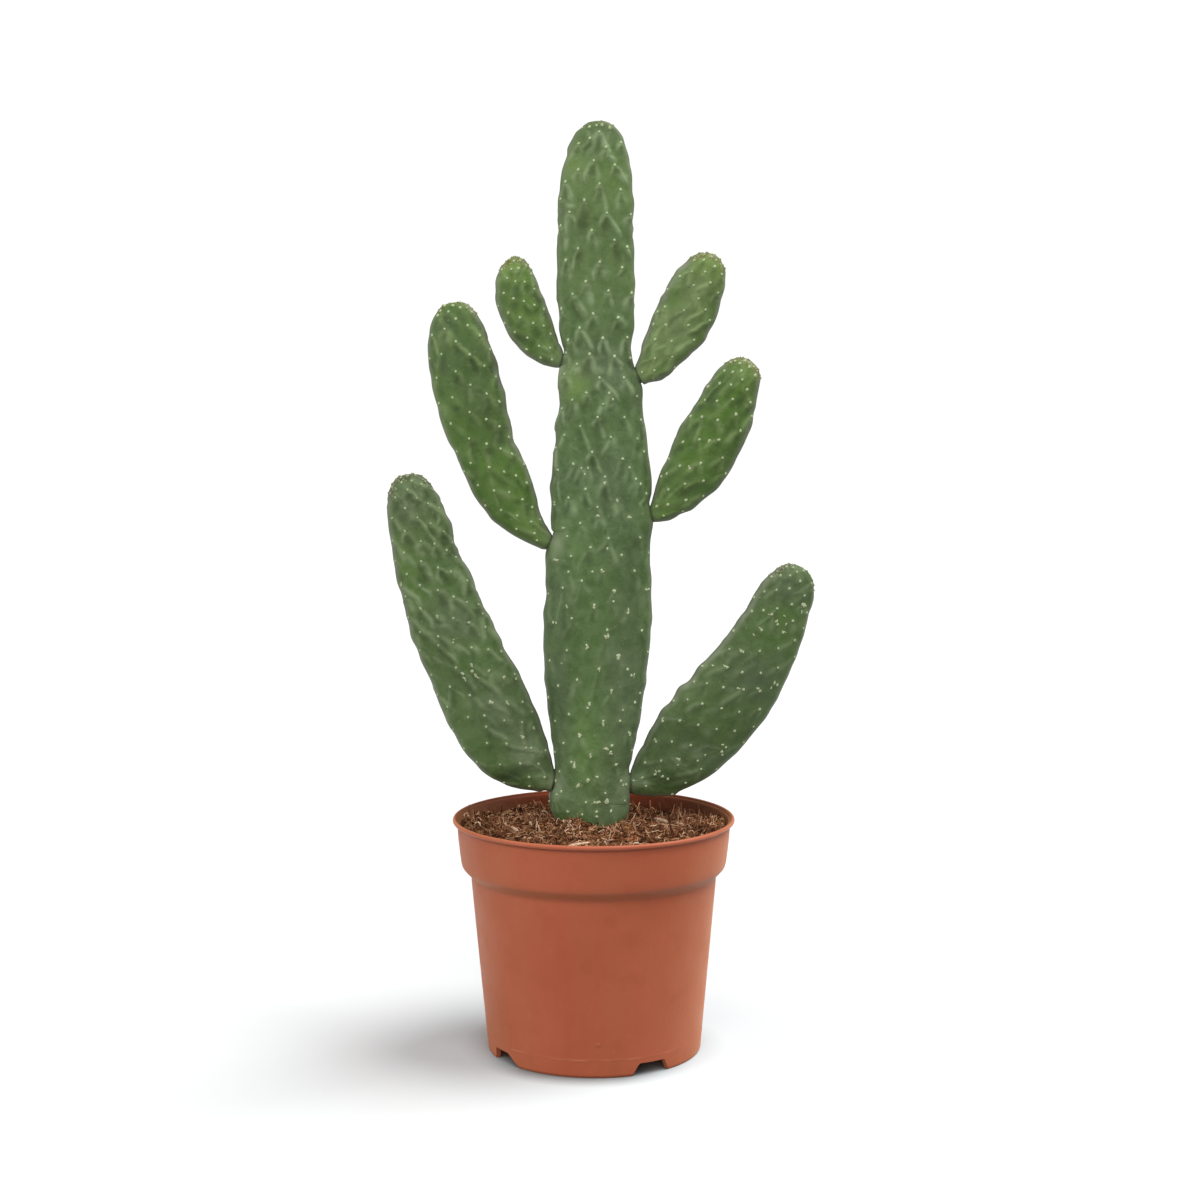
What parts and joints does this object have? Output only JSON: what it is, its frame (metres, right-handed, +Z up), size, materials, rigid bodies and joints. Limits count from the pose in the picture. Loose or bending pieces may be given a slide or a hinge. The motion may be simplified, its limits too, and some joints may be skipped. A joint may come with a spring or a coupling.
{
  "type": "potted paddle cactus",
  "caption": "Upright flattened cactus with paddle-shaped side pads, dotted with woolly spots, rooted in potting soil in a round terracotta-coloured plastic nursery pot.",
  "frame": {"origin": "middle of the whole object's footprint, at the pot's standing ring", "axes": "+Z up along the stem; +X to the viewer's right and -Y towards the viewer, who sees the flat faces of the stem and pads"},
  "size_m": [0.2554, 0.1698, 0.5575],
  "materials": {
    "terracotta_plastic": "thin moulded plastic, soft satin, terracotta colour",
    "potting_mix": "loose dark peat and coir with pale fibres",
    "root": "dry pale root skin",
    "stem_skin": "waxy dark green skin, satin, with pale corky specks",
    "pad_skin_old": "waxy dark green skin, satin, grey bloom",
    "pad_skin": "waxy mid green skin, satin",
    "pad_skin_young": "waxy lighter green skin, satin",
    "wood_fibre": "dry pale splinter",
    "bark": "dry brown bark"
  },
  "bodies": {
    "root": {"pot": "terracotta_plastic", "potting_soil": "potting_mix", "root_system": "root", "main_stem": "stem_skin", "pad_left_low": "pad_skin_old", "pad_left_mid": "pad_skin", "pad_left_top": "pad_skin_young", "pad_right_top": "pad_skin_young", "pad_right_mid": "pad_skin", "pad_right_low": "pad_skin_old", "wood_sliver_right": "wood_fibre", "wood_sliver_front": "wood_fibre", "wood_sliver_left": "wood_fibre", "bark_chip_left": "bark"}
  },
  "joints": []
}
